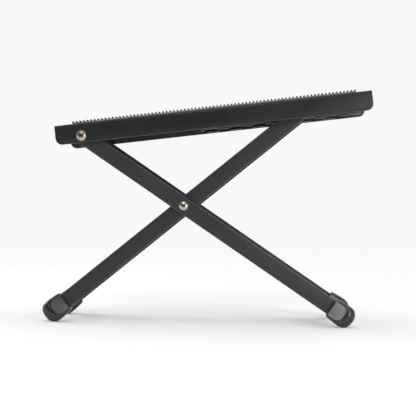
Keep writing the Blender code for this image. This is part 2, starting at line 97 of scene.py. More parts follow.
def editPick(piece, kind, test):
    # Goes into edit mode with only the chosen edges or corners selected
    takeUp(piece)
    bpy.ops.object.mode_set(mode="EDIT")
    bpy.ops.mesh.select_mode(type=kind)
    bpy.ops.mesh.select_all(action="DESELECT")
    bpy.ops.object.mode_set(mode="OBJECT")
    mesh = piece.data
    if kind == "EDGE":
        for edge in mesh.edges:
            first, second = (mesh.vertices[index].co for index in edge.vertices)
            edge.select = test(first, second)
    else:
        for corner in mesh.vertices:
            corner.select = test(corner.co)
    bpy.ops.object.mode_set(mode="EDIT")


def pickEnd(piece, x):
    # The edges that run through a block's thickness at one of its ends
    editPick(piece, "EDGE", lambda a, b: abs(a.x - x) < tiny and abs(b.x - x) < tiny
             and abs(a.z - b.z) < tiny)


def bevelPicked(offset, segments, affect="EDGES"):
    bpy.ops.mesh.bevel(offset=offset, segments=segments, affect=affect, profile=0.5)
    objectMode()


def applyPlace():
    bpy.ops.object.transform_apply(location=True, rotation=True, scale=True)


def pieceName(node):
    # outer_leg_near becomes outerLegNear
    first, *rest = node.split("_")
    return first + "".join(word.title() for word in rest)


def newPiece(name):
    piece = bpy.context.object
    piece.name = name
    piece.data.name = name
    return piece


def linkedPiece(name, data):
    piece = bpy.data.objects.new(name, data)
    bpy.context.scene.collection.objects.link(piece)
    return piece


def addBlock(name, centre, size):
    deselectAll()
    bpy.ops.mesh.primitive_cube_add(size=1.0, location=centre)
    piece = newPiece(name)
    piece.scale = size
    applyPlace()
    return piece


def turnedPiece(name, meshName, profile, steps):
    # Spins a profile of radii and heights into a closed round piece
    mesh = bpy.data.meshes.new(meshName)
    mesh.from_pydata([(radius, 0.0, height) for radius, height in profile],
                     [(index, index + 1) for index in range(len(profile) - 1)], [])
    piece = linkedPiece(name, mesh)
    editAll(piece)
    bpy.ops.mesh.spin(steps=steps, angle=math.tau, center=(0.0, 0.0, 0.0), axis=(0.0, 0.0, 1.0))
    return outward(piece)


def outward(piece):
    # Joins the corners that meet and turns every face outward
    editAll(piece)
    bpy.ops.mesh.remove_doubles(threshold=mergeGap)
    bpy.ops.mesh.normals_make_consistent(inside=False)
    bpy.ops.object.mode_set(mode="OBJECT")
    return piece


def useModifier(piece, kind, **settings):
    takeUp(piece)
    modifier = piece.modifiers.new(kind.lower(), kind)
    for name, value in settings.items():
        setattr(modifier, name, value)
    bpy.ops.object.modifier_apply(modifier=modifier.name)


def cutAway(piece, cutter):
    useModifier(piece, "BOOLEAN", operation="DIFFERENCE", solver="EXACT", object=cutter)
    bpy.data.objects.remove(cutter, do_unlink=True)


def addOn(piece, extra):
    useModifier(piece, "BOOLEAN", operation="UNION", solver="EXACT", object=extra)
    bpy.data.objects.remove(extra, do_unlink=True)


def repeatAlong(piece, count, step):
    useModifier(piece, "ARRAY", count=count, use_relative_offset=False, use_constant_offset=True,
                constant_offset_displace=step)


def markFaces(piece, name, test, amount=1.0):
    # Writes how strongly each chosen face takes an effect of its finish
    marks = piece.data.attributes.get(name) or piece.data.attributes.new(name, "FLOAT", "FACE")
    for face, mark in zip(piece.data.polygons, marks.data):
        if test(face):
            mark.value = amount


def roundEdges(piece, width, segments, angle=sharpAngle):
    # The new faces go to a second material slot for a moment, so that they can be marked
    while len(piece.data.materials) < 2:
        piece.data.materials.append(None)
    useModifier(piece, "BEVEL", width=width, segments=segments, limit_method="ANGLE",
                angle_limit=math.radians(angle), material=1)
    markFaces(piece, "edgeMark", lambda face: face.material_index == 1)
    for face in piece.data.polygons:
        face.material_index = 0


def shadeSmooth(piece, angle=shadeAngle):
    takeUp(piece)
    bpy.ops.object.shade_smooth_by_angle(angle=math.radians(angle))


def settle(piece, drawing):
    # Puts a piece from its drawing frame into place, with the place in its mesh
    takeUp(piece)
    piece.matrix_world = drawing @ piece.matrix_world
    applyPlace()


def finishPiece(piece, material, slotName, body, *nodes):
    piece.data.materials.clear()
    piece.data.materials.append(material)
    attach(piece, body)
    if nodes:
        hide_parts(*nodes)


def alongFrame(node, drawing):
    # How far a node reaches along x in a drawing frame
    back = drawing.inverted()
    places = [(back @ corner.co).x for corner in frame["nodes"][node].data.vertices]
    return min(places), max(places)


def middleY(node):
    low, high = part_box(node)
    return (low.y + high.y) / 2


# Patterns that several finishes share

def startGroup(name, inputs, outputs):
    group = bpy.data.node_groups.new(name, "ShaderNodeTree")
    for label, default in inputs:
        socket = group.interface.new_socket(label, in_out="INPUT", socket_type="NodeSocketFloat")
        socket.default_value = default
    for label in outputs:
        group.interface.new_socket(label, in_out="OUTPUT", socket_type="NodeSocketFloat")
    start = group.nodes.new("NodeGroupInput")
    end = group.nodes.new("NodeGroupOutput")
    place = group.nodes.new("ShaderNodeTexCoord").outputs["Object"]
    return group, start, end, place


def addNoise(tree, coordinates, scale, detail, rough=0.5):
    noise = tree.nodes.new("ShaderNodeTexNoise")
    for label, value in (("Scale", scale), ("Detail", detail), ("Roughness", rough)):
        noise.inputs[label].default_value = value
    tree.links.new(coordinates, noise.inputs["Vector"])
    return noise.outputs["Fac"]


def addMath(tree, operation, first, second):
    node = tree.nodes.new("ShaderNodeMath")
    node.operation = operation
    for socket, value in zip(node.inputs, (first, second)):
        if isinstance(value, float):
            socket.default_value = value
        else:
            tree.links.new(value, socket)
    return node.outputs[0]


def addRange(tree, value, source, target=(0.0, 1.0)):
    node = tree.nodes.new("ShaderNodeMapRange")
    for label, number in zip(("From Min", "From Max", "To Min", "To Max"), (*source, *target)):
        node.inputs[label].default_value = number
    tree.links.new(value, node.inputs["Value"])
    return node.outputs[0]


def addMark(tree, name):
    # Reads what markFaces wrote in the mesh
    mark = tree.nodes.new("ShaderNodeAttribute")
    mark.attribute_name = name
    return mark.outputs["Fac"]


coatPattern = {
    "peel": {"scale": 620.0, "detail": 1.0},
    "grain": {"scale": 2600.0, "detail": 2.0},
    "grainShare": 0.35,
    "clouds": {"scale": 14.0, "detail": 4.0},
    "cloudRange": (0.3, 0.7),
    "specks": {"scale": 2100.0, "detail": 0.0},
    "speckRange": (0.73, 0.80),
}


def makeCoatGroup():
    # Powder coat: a soft orange peel, a finer grain, slow clouds of gloss and a few pale specks
    pattern = coatPattern
    group, start, end, place = startGroup("powderCoat", [("Peel", 1.0), ("Grain", pattern["grainShare"])],
                                          ["Height", "Clouds", "Specks"])
    peel = addNoise(group, place, **pattern["peel"])
    grain = addNoise(group, place, **pattern["grain"])
    peelPart = addMath(group, "MULTIPLY", peel, start.outputs["Peel"])
    grainPart = addMath(group, "MULTIPLY", grain, start.outputs["Grain"])
    group.links.new(addMath(group, "ADD", peelPart, grainPart), end.inputs["Height"])
    clouds = addNoise(group, place, **pattern["clouds"])
    group.links.new(addRange(group, clouds, pattern["cloudRange"]), end.inputs["Clouds"])
    specks = addNoise(group, place, **pattern["specks"])
    group.links.new(addRange(group, specks, pattern["speckRange"]), end.inputs["Specks"])
    return group


rubberPattern = {
    "cellScale": 1700.0,
    "fine": {"scale": 2720.0, "detail": 2.0},
    "bloom": {"scale": 60.0, "detail": 5.0},
    "bloomRange": (0.35, 0.7),
    "dust": {"scale": 900.0, "detail": 3.0, "rough": 0.7},
    "dustRange": (0.68, 0.74),
}


def makeRubberGroup():
    # Moulded rubber: a leathery grain, a pale bloom and a few motes of dust
    pattern = rubberPattern
    group, start, end, place = startGroup("mouldedRubber", [("Grain", 1.0), ("Bloom", 1.0)],
                                          ["Height", "Bloom", "Dust"])
    cells = group.nodes.new("ShaderNodeTexVoronoi")
    cells.inputs["Scale"].default_value = pattern["cellScale"]
    group.links.new(place, cells.inputs["Vector"])
    both = addMath(group, "ADD", cells.outputs["Distance"], addNoise(group, place, **pattern["fine"]))
    group.links.new(addMath(group, "MULTIPLY", both, start.outputs["Grain"]), end.inputs["Height"])
    bloom = addRange(group, addNoise(group, place, **pattern["bloom"]), pattern["bloomRange"])
    group.links.new(addMath(group, "MULTIPLY", bloom, start.outputs["Bloom"]), end.inputs["Bloom"])
    dust = addNoise(group, place, **pattern["dust"])
    group.links.new(addRange(group, dust, pattern["dustRange"]), end.inputs["Dust"])
    return group


platedPattern = {
    "stretch": (1.0, 9.0, 1.0),
    "streaks": {"scale": 420.0, "detail": 3.0},
    "tarnish": {"scale": 210.0, "detail": 4.0},
    "tarnishRange": (0.45, 0.75),
}


def makePlatedGroup():
    # Plated steel: fine streaks left by turning, and a faint tarnish
    pattern = platedPattern
    group, start, end, place = startGroup("platedSteel", [("Streaks", 1.0)], ["Streaks", "Tarnish"])
    mapping = group.nodes.new("ShaderNodeMapping")
    mapping.inputs["Scale"].default_value = pattern["stretch"]
    group.links.new(place, mapping.inputs["Vector"])
    streaks = addNoise(group, mapping.outputs["Vector"], **pattern["streaks"])
    group.links.new(addMath(group, "MULTIPLY", streaks, start.outputs["Streaks"]), end.inputs["Streaks"])
    tarnish = addNoise(group, place, **pattern["tarnish"])
    group.links.new(addRange(group, tarnish, pattern["tarnishRange"]), end.inputs["Tarnish"])
    return group


wearHighlightPattern = {
    "patches": {"scale": 160.0, "detail": 3.0},
    "patchStrength": (0.45, 1.0),
    "nicks": {"scale": 900.0, "detail": 2.0},
    "nickStrength": (0.6, 1.0),
    "brokenRange": (0.35, 0.60),
}


def makeWearHighlightGroup():
    # Edge wear and a painted highlight on the marked edges, broken into patches and small nicks
    pattern = wearHighlightPattern
    group, start, end, place = startGroup("edgeWearAndHighlight", [("Amount", 1.0)], ["Wear"])
    patches = addRange(group, addNoise(group, place, **pattern["patches"]), pattern["brokenRange"],
                       pattern["patchStrength"])
    nicks = addRange(group, addNoise(group, place, **pattern["nicks"]), pattern["brokenRange"],
                     pattern["nickStrength"])
    broken = addMath(group, "MULTIPLY", patches, nicks)
    worn = addMath(group, "MULTIPLY", broken, addMark(group, "edgeMark"))
    group.links.new(addMath(group, "MULTIPLY", worn, start.outputs["Amount"]), end.inputs["Wear"])
    return group


wearHighlightGroup = makeWearHighlightGroup()
coatGroup = makeCoatGroup()
rubberGroup = makeRubberGroup()
platedGroup = makePlatedGroup()


def addEffect(tree, group):
    effect = tree.nodes.new("ShaderNodeGroup")
    effect.node_tree = group
    return effect


def startMaterial(name, group):
    material = bpy.data.materials.new(name)
    material.use_nodes = True
    tree = material.node_tree
    return material, tree, tree.nodes["Principled BSDF"], addEffect(tree, group)


def mixColour(tree, factor, first, second):
    mix = tree.nodes.new("ShaderNodeMix")
    mix.data_type = "RGBA"
    tree.links.new(factor, mix.inputs["Factor"])
    # The mix node's colour sockets are numbers 6 and 7, and its colour comes out of number 2
    for socket, colour in ((mix.inputs[6], first), (mix.inputs[7], second)):
        if isinstance(colour, tuple):
            socket.default_value = (*colour, 1.0)
        else:
            tree.links.new(colour, socket)
    return mix.outputs[2]


def addBump(tree, shader, height, strength, distance):
    bump = tree.nodes.new("ShaderNodeBump")
    bump.inputs["Strength"].default_value = strength
    bump.inputs["Distance"].default_value = distance
    tree.links.new(height, bump.inputs["Height"])
    tree.links.new(bump.outputs["Normal"], shader.inputs["Normal"])


# The worn colours are edge wear and a painted highlight: the marked edges are painted paler where light would
# catch them
coatFinishes = {
    "platePaint": {"deep": (0.0085, 0.0085, 0.0085), "pale": (0.012, 0.012, 0.012),
                   "worn": (0.085, 0.085, 0.085), "rough": (0.30, 0.40),
                   "peel": 1.0, "bump": 0.10, "specular": 0.33},
    "legPaint": {"deep": (0.017, 0.017, 0.017), "pale": (0.022, 0.022, 0.022),
                 "worn": (0.15, 0.15, 0.15), "rough": (0.32, 0.44),
                 "peel": 0.8, "bump": 0.12, "specular": 0.42},
    "railPaint": {"deep": (0.013, 0.013, 0.013), "pale": (0.018, 0.018, 0.018),
                  "worn": (0.55, 0.55, 0.55), "rough": (0.30, 0.40),
                  "peel": 0.8, "bump": 0.10, "specular": 0.45},
}
coatSpecks = {"amount": 0.20, "colour": (0.08, 0.08, 0.08)}
coatBumpDistance = 0.12 * mm


def makeCoat(name):
    finish = coatFinishes[name]
    material, tree, shader, effect = startMaterial(name, coatGroup)
    effect.inputs["Peel"].default_value = finish["peel"]
    clouds = effect.outputs["Clouds"]
    clouded = mixColour(tree, clouds, finish["deep"], finish["pale"])
    specks = addMath(tree, "MULTIPLY", effect.outputs["Specks"], coatSpecks["amount"])
    specked = mixColour(tree, specks, clouded, coatSpecks["colour"])
    # Painted highlight and wear: the marked edges take the paler worn colour
    wear = addEffect(tree, wearHighlightGroup).outputs["Wear"]
    tree.links.new(mixColour(tree, wear, specked, finish["worn"]), shader.inputs["Base Color"])
    tree.links.new(addRange(tree, clouds, (0.0, 1.0), finish["rough"]), shader.inputs["Roughness"])
    shader.inputs["Specular IOR Level"].default_value = finish["specular"]
    addBump(tree, shader, effect.outputs["Height"], finish["bump"], coatBumpDistance)
    return material


rubberFinishes = {
    "matRubber": {"deep": (0.011, 0.011, 0.011), "pale": (0.020, 0.020, 0.020), "dust": 0.20,
                  "rough": (0.62, 0.78), "bump": 0.25, "specular": 0.35,
                  "worn": (0.42, 0.415, 0.41), "wear": 1.5},
    "bootRubber": {"deep": (0.014, 0.014, 0.015), "pale": (0.020, 0.020, 0.021), "dust": 0.06,
                   "rough": (0.19, 0.26), "bump": 0.04, "specular": 0.60,
                   "panel": (0.115, 0.115, 0.114), "panelPale": (0.19, 0.19, 0.188),
                   "panelRough": 0.40},
    "nylonBlack": {"deep": (0.016, 0.016, 0.016), "pale": (0.022, 0.022, 0.022), "dust": 0.05,
                   "rough": (0.42, 0.50), "bump": 0.08, "specular": 0.50},
}
dustColour = (0.20, 0.19, 0.18)
rubberBumpDistance = 0.06 * mm


def makeRubber(name):
    finish = rubberFinishes[name]
    material, tree, shader, effect = startMaterial(name, rubberGroup)
    bloom = effect.outputs["Bloom"]
    bloomed = mixColour(tree, bloom, finish["deep"], finish["pale"])
    dust = addMath(tree, "MULTIPLY", effect.outputs["Dust"], finish["dust"])
    colour = mixColour(tree, dust, bloomed, dustColour)
    rough = addRange(tree, bloom, (0.0, 1.0), finish["rough"])
    # On the mat the marked sides take a pale worn colour, wear and a painted highlight below the studs
    if "worn" in finish:
        wear = addEffect(tree, wearHighlightGroup)
        wear.inputs["Amount"].default_value = finish["wear"]
        colour = mixColour(tree, wear.outputs["Wear"], colour, finish["worn"])
    if "panel" in finish:
        # The boots' flat panels, which are marked in the mesh, are paler and rougher; the outer boots' panels are
        # marked more strongly, a painted sheen
        mark = addMark(tree, "panelAndSheenMark")
        panelColour = mixColour(tree, bloom, finish["panel"], finish["panelPale"])
        colour = mixColour(tree, mark, colour, panelColour)
        added = addMath(tree, "MULTIPLY", mark, finish["panelRough"] - finish["rough"][1])
        rough = addMath(tree, "ADD", rough, added)
    tree.links.new(colour, shader.inputs["Base Color"])
    tree.links.new(rough, shader.inputs["Roughness"])
    shader.inputs["Specular IOR Level"].default_value = finish["specular"]
    addBump(tree, shader, effect.outputs["Height"], finish["bump"], rubberBumpDistance)
    return material


# Each grime colour is painted shade, put on the screws' sockets and upward faces
platedFinishes = {
    "nickelPlate": {"bright": (0.50, 0.445, 0.385), "dull": (0.28, 0.235, 0.19),
                    "grime": (0.10, 0.084, 0.065), "worn": (0.86, 0.82, 0.76), "rough": (0.16, 0.30)},
    "zincPlate": {"bright": (0.60, 0.60, 0.59), "dull": (0.40, 0.40, 0.39),
                  "grime": (0.05, 0.05, 0.05), "worn": (0.78, 0.78, 0.77), "rough": (0.30, 0.45)},
}
streakFinish = {"range": (0.25, 0.75), "bump": 0.05, "distance": 0.02 * mm}


def makePlated(name):
    finish = platedFinishes[name]
    material, tree, shader, effect = startMaterial(name, platedGroup)
    streaks = effect.outputs["Streaks"]
    tarnished = mixColour(tree, effect.outputs["Tarnish"], finish["bright"], finish["dull"])
    # Painted highlight and wear: the marked edges take the brighter worn colour
    wear = addEffect(tree, wearHighlightGroup).outputs["Wear"]
    rubbedAndHighlit = mixColour(tree, wear, tarnished, finish["worn"])
    # Painted shade: the faces marked on the screws take the dark colour
    withPaintedShade = mixColour(tree, addMark(tree, "paintedShadeMark"), rubbedAndHighlit, finish["grime"])
    rough = addRange(tree, streaks, streakFinish["range"], finish["rough"])
    tree.links.new(withPaintedShade, shader.inputs["Base Color"])
    tree.links.new(rough, shader.inputs["Roughness"])
    shader.inputs["Metallic"].default_value = 1.0
    addBump(tree, shader, streaks, streakFinish["bump"], streakFinish["distance"])
    return material


platePaint, legPaint, railPaint = (makeCoat(name) for name in coatFinishes)
matRubber, bootRubber, nylonBlack = (makeRubber(name) for name in rubberFinishes)
nickelPlate, zincPlate = (makePlated(name) for name in platedFinishes)
print("finishes made")


# The folded foot plate

plateSheet = {
    "length": 300.0 * mm,
    "width": 110.0 * mm,
    "pivotFromEnd": 24.7 * mm,
    "pivotBelowTop": 11.8 * mm,
    "flangeDepth": 18.5 * mm,
    "thickness": 1.5 * mm,
    "foldRadius": 2.2 * mm,
    "foldSegments": 8,
    "cornerRadius": 6.5 * mm,
    "cornerSegments": 10,
    "edgeRound": 0.45 * mm,
    "edgeSegments": 3,
}
plateLeft = -plateSheet["pivotFromEnd"]
plateTop = plateSheet["pivotBelowTop"]


def buildPlateSheet():
    sheet = plateSheet
    deselectAll()
    bpy.ops.mesh.primitive_plane_add(size=1.0, location=(plateLeft + sheet["length"] / 2, 0.0, plateTop))
    piece = newPiece("plateSheet")
    piece.scale = (sheet["length"], sheet["width"], 1.0)
    applyPlace()
    half = sheet["width"] / 2
    editPick(piece, "EDGE", lambda a, b: abs(abs(a.y) - half) < tiny and abs(a.y - b.y) < tiny)
    bpy.ops.mesh.extrude_region_move(TRANSFORM_OT_translate={"value": (0.0, 0.0, -sheet["flangeDepth"])})
    bpy.ops.mesh.select_all(action="SELECT")
    bpy.ops.mesh.normals_make_consistent(inside=False)
    bpy.ops.object.mode_set(mode="OBJECT")
    if max(piece.data.polygons, key=lambda face: face.center.z).normal.z < 0:
        editAll(piece)
        bpy.ops.mesh.flip_normals()
    bottom = plateTop - sheet["flangeDepth"]
    editPick(piece, "VERT", lambda corner: abs(corner.z - bottom) < tiny)
    bevelPicked(sheet["cornerRadius"], sheet["cornerSegments"], "VERTICES")
    editPick(piece, "EDGE", lambda a, b: abs(a.z - plateTop) < tiny and abs(b.z - plateTop) < tiny
             and abs(a.y - b.y) < tiny and abs(abs(a.y) - half) < tiny)
    bevelPicked(sheet["foldRadius"], sheet["foldSegments"])
    useModifier(piece, "SOLIDIFY", thickness=sheet["thickness"], offset=-1.0, use_even_offset=True)
    roundEdges(piece, sheet["edgeRound"], sheet["edgeSegments"])
    shadeSmooth(piece)
    settle(piece, plateFrame)
    finishPiece(piece, platePaint, "plate_paint", "plate", "foot_plate")


buildPlateSheet()
print("plate sheet made")


# The mat and its studs

mat = {
    "length": 269.0 * mm,
    "width": 103.0 * mm,
    "endMargin": 16.6 * mm,
    "base": 1.15 * mm,
    "lift": 0.05 * mm,
    "cornerRadius": 2.0 * mm,
    "cornerSegments": 6,
    "edgeRound": 0.5 * mm,
    "edgeSegments": 3,
    "tiltWearAndHighlight": ((-2.0, 1.0), (0.45, 0.10), (0.99, 0.0)),  # upward tilt, and from there the pale worn edge: wear and a painted highlight along the mat's sides
    "studPitch": 3.425 * mm,
    "studProfile": (  # radius and height over the base, in mm
        (0.70, -0.20), (0.68, 0.35), (0.80, 0.80), (0.70, 1.25), (0.38, 1.49), (0.0, 1.56)),
    "innerStudShare": 0.80,
    "studSides": 9,
    "studShadeAngle": 60,
    "edgeInset": 0.9 * mm,
}


def buildMatBase():
    middleX = plateLeft + mat["endMargin"] + mat["length"] / 2
    piece = addBlock("matBase", (middleX, 0.0, plateTop + mat["lift"] + mat["base"] / 2),
                     (mat["length"], mat["width"], mat["base"]))
    editPick(piece, "EDGE", lambda a, b: abs(a.x - b.x) < tiny and abs(a.y - b.y) < tiny)
    bevelPicked(mat["cornerRadius"], mat["cornerSegments"])
    roundEdges(piece, mat["edgeRound"], mat["edgeSegments"])
    # Painted highlight and wear: the mat's sides take the pale worn colour, less towards its top
    for tilt, wear in mat["tiltWearAndHighlight"]:
        markFaces(piece, "edgeMark", lambda face: face.normal.z > tilt, wear)
    shadeSmooth(piece)
    settle(piece, plateFrame)
    finishPiece(piece, matRubber, "mat_rubber", "plate", "rubber_mat")


def buildStuds(name, heightShare, rowStep, firstRow, rowCount):
    # One stud is turned from its profile and copied over the mat, with its foot a little inside the base
    alongCount = int((mat["length"] - 2 * mat["edgeInset"]) / mat["studPitch"]) + 1
    firstX = plateLeft + mat["endMargin"] + (mat["length"] - (alongCount - 1) * mat["studPitch"]) / 2
    profile = [(radius * mm, height * mm * heightShare) for radius, height in mat["studProfile"]]
    piece = turnedPiece(name, name, profile, mat["studSides"])
    piece.location = (firstX, firstRow, plateTop + mat["base"])
    applyPlace()
    shadeSmooth(piece, mat["studShadeAngle"])
    repeatAlong(piece, alongCount, (mat["studPitch"], 0.0, 0.0))
    repeatAlong(piece, rowCount, (0.0, rowStep, 0.0))
    settle(piece, plateFrame)
    finishPiece(piece, matRubber, "mat_rubber", "plate")


def buildMatStuds():
    # The rows along the two long edges stand a little higher than those between them
    pitch = mat["studPitch"]
    rowCount = int((mat["width"] - 2 * mat["edgeInset"]) / pitch) + 1
    edgeRow = (rowCount - 1) * pitch / 2
    buildStuds("matEdgeStuds", 1.0, 2 * edgeRow, -edgeRow, 2)
    buildStuds("matInnerStuds", mat["innerStudShare"], pitch, pitch - edgeRow, rowCount - 2)


buildMatBase()
buildMatStuds()
print("mat made")


# The flat bars of the two leg frames

legBar = {
    "width": 15.0 * mm,
    "thickness": 3.0 * mm,
    "edgeRound": 0.8 * mm,
    "edgeSegments": 5,
    "endSegments": 14,
}


def buildLeg(kind, sideName):
    node = f"{kind}_leg_{sideName}"
    drawing = legFrames[kind]
    low, high = alongFrame(node, drawing)
    piece = addBlock(pieceName(node), ((low + high) / 2, middleY(node), 0.0),
                     (high - low, legBar["thickness"], legBar["width"]))
    # The upper end is round over the bar's whole width
    pickEnd(piece, low)
    bevelPicked(legBar["width"] / 2 - tiny, legBar["endSegments"])
    roundEdges(piece, legBar["edgeRound"], legBar["edgeSegments"])
    shadeSmooth(piece)
    settle(piece, drawing)
    finishPiece(piece, legPaint, "leg_paint", f"{kind}_frame", node)


for kind in legFrames:
    for sideName in sides:
        buildLeg(kind, sideName)
print("legs made")


# Round bars with a weld bead at each end

roundBar = {
    "outer_cross_bar": {"radius": 4.0 * mm, "body": "outer_frame"},
    "inner_cross_bar": {"radius": 4.0 * mm, "body": "inner_frame"},
    "catch_bar": {"radius": 3.5 * mm, "body": "inner_frame"},
}
barSides = 48
barShadeAngle = 45
weldBead = {
    "size": 1.7 * mm,  # the three shares below are of this
    "outShare": 0.1,
    "roundShare": 0.85,
    "inShare": 0.2,
    "ringSteps": 52,
    "roundSteps": 10,
    "ripples": 26,
    "rippleDepth": 0.12 * mm,
}


def buildBead(radius, centre, end):
    size = weldBead["size"]
    inward = 1 if end < 0 else -1
    deselectAll()
    bpy.ops.mesh.primitive_torus_add(
        major_radius=radius + size * weldBead["outShare"], minor_radius=size * weldBead["roundShare"],
        major_segments=weldBead["ringSteps"], minor_segments=weldBead["roundSteps"],
        location=(centre.x, end + inward * size * weldBead["inShare"], centre.z),
        rotation=(math.pi / 2, 0.0, 0.0))
    bead = newPiece("bead")
    applyPlace()
    # Ripples run round the bead, and its outer half is cut flat on the bar's end
    for corner in bead.data.vertices:
        across = Vector((corner.co.x - centre.x, 0.0, corner.co.z - centre.z))
        turn = math.atan2(across.z, across.x)
        lift = weldBead["rippleDepth"] * math.sin(turn * weldBead["ripples"])
        corner.co += across.normalized() * lift
        corner.co.y = max(corner.co.y, end) if end < 0 else min(corner.co.y, end)
    return bead


def buildRoundBar(node):
    bar = roundBar[node]
    low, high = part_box(node)
    centre = (low + high) / 2
    deselectAll()
    bpy.ops.mesh.primitive_cylinder_add(vertices=barSides, radius=bar["radius"], depth=high.y - low.y,
                                        location=centre, rotation=(math.pi / 2, 0.0, 0.0))
    piece = newPiece(pieceName(node))
    applyPlace()
    for end in (low.y, high.y):
        addOn(piece, buildBead(bar["radius"], centre, end))
    shadeSmooth(outward(piece), barShadeAngle)
    finishPiece(piece, legPaint, "leg_paint", bar["body"], node)


for node in roundBar:
    buildRoundBar(node)
print("bars made")


# Moulded rubber boots

boot = {
    "length": 24.8 * mm,
    "width": 21.9 * mm,
    "thickness": 13.1 * mm,
    "sections": (  # along, width and thickness as shares
        (0.00, 0.83, 0.76), (0.02, 0.87, 0.82), (0.07, 0.91, 0.85), (0.20, 0.95, 0.85),
        (0.45, 0.99, 0.85), (0.575, 1.00, 0.85), (0.60, 1.00, 0.885), (0.64, 1.00, 0.935),
        (0.69, 1.00, 0.975), (0.75, 0.98, 1.00), (0.80, 0.945, 0.995), (0.85, 0.87, 0.955),
        (0.90, 0.76, 0.86), (0.95, 0.58, 0.68), (0.98, 0.39, 0.47), (0.995, 0.20, 0.24),
        (1.00, 0.04, 0.05)),
    "corner": 3.36 * mm,
    "cornerSegments": 6,
    "flatCuts": 6,
    "bulbStart": 0.44,
    "bulbFull": 0.88,
    "bulbRound": 0.95,
    "smoothLevels": 2,
    "shadeAngle": 40,
    "panelShare": 0.85,
    "panelToneAndSheen": {"outer": 1.0, "inner": 0.40},  # the outer boots' panels are painted paler than the inner ones, a painted sheen
    "panelStart": 0.9 * mm,
    "panelEnd": 14.4 * mm,
    "panelWidth": 15.6 * mm,
    "panelCorner": 6.6 * mm,
    "farSegments": 10,
    "panelNearCorner": 1.2 * mm,
    "nearSegments": 6,
    "panelProud": 0.12 * mm,
    "panelSink": 2.0 * mm,
    "panelRound": 0.35 * mm,
    "panelRoundSegments": 3,
    "panelFlatness": 0.9,  # how straight a face of the panel looks sideways
    "grooveWidth": 0.8 * mm,
    "grooveDepth": 0.7 * mm,
    "grooveOverrun": 3.0 * mm,
    "mouthWall": 0.3 * mm,
    "mouthDepth": 2.5 * mm,
    "mouthCorner": 0.5 * mm,
    "mouthOverrun": 2.0 * mm,
}


def buildPanel(name, low, high, halfWidth, corner, lowY, highY, nearCorner=0.0):
    # A flat block with round corners, for a boot's panel, its groove or its mouth
    piece = addBlock(name, ((low + high) / 2, (lowY + highY) / 2, 0.0),
                     (high - low, highY - lowY, 2 * halfWidth))
    pickEnd(piece, high)
    bevelPicked(corner, boot["farSegments"])
    if nearCorner:
        pickEnd(piece, low)
        bevelPicked(nearCorner, boot["nearSegments"])
    return piece


def buildBootBody(name, mouth, centreY):
    # The body is drawn out of its mouth's outline, section by section
    first, *others = boot["sections"]
    deselectAll()
    bpy.ops.mesh.primitive_plane_add(size=1.0, location=(mouth, centreY, 0.0),
                                     rotation=(0.0, math.pi / 2, 0.0))
    piece = newPiece(name)
    piece.scale = (first[1] * boot["width"], first[2] * boot["thickness"], 1.0)
    applyPlace()
    editPick(piece, "VERT", lambda corner: True)
    bevelPicked(boot["corner"], boot["cornerSegments"], "VERTICES")
    # The two wide sides are cut up too, so that they can take the bulb's round section
    editPick(piece, "EDGE", lambda a, b: (a - b).length > boot["thickness"] / 2)
    bpy.ops.mesh.subdivide(number_cuts=boot["flatCuts"])
    bpy.ops.mesh.select_mode(type="VERT")
    bpy.ops.mesh.select_all(action="SELECT")
    last = first
    for section in others:
        step = (section[0] - last[0]) * boot["length"]
        bpy.ops.mesh.extrude_region_move(TRANSFORM_OT_translate={"value": (step, 0.0, 0.0)})
        bpy.ops.transform.resize(value=(1.0, section[2] / last[2], section[1] / last[1]))
        last = section
    return outward(piece)


def swellBulb(piece, mouth, centreY):
    # Past the panel the square section swells into a round one
    flat = boot["thickness"] / boot["width"]
    for corner in piece.data.vertices:
        share = (corner.co.x - mouth) / boot["length"]
        rise = min(max((share - boot["bulbStart"]) / (boot["bulbFull"] - boot["bulbStart"]), 0), 1)
        amount = boot["bulbRound"] * rise * rise * (3 - 2 * rise)
        across, up = corner.co.y - centreY, corner.co.z
        reach = math.hypot(across / flat, up)
        if amount and reach:
            section = min(boot["sections"], key=lambda other: abs(other[0] - share))
            scale = section[1] * boot["width"] / 2 / reach
            corner.co.y = centreY + across * (1 + amount * (scale - 1))
            corner.co.z = up * (1 + amount * (scale - 1))


def addPanels(piece, low, high, half, centreY):
    # A groove is cut into each flat side, and the panel stands in it
    edge = boot["grooveWidth"]
    halfWidth = boot["panelWidth"] / 2
    for face in (-1, 1):
        cut = sorted(centreY + face * y
                     for y in (half - boot["grooveDepth"], half + boot["grooveOverrun"]))
        cutAway(piece, buildPanel("groove", low - edge, high + edge, halfWidth + edge,
                                  boot["panelCorner"] + edge, *cut, boot["panelNearCorner"] + edge))
        filled = sorted(centreY + face * y
                        for y in (half - boot["panelSink"], half + boot["panelProud"]))
        panel = buildPanel("panel", low, high, halfWidth, boot["panelCorner"], *filled,
                           boot["panelNearCorner"])
        roundEdges(panel, boot["panelRound"], boot["panelRoundSegments"])
        addOn(piece, panel)


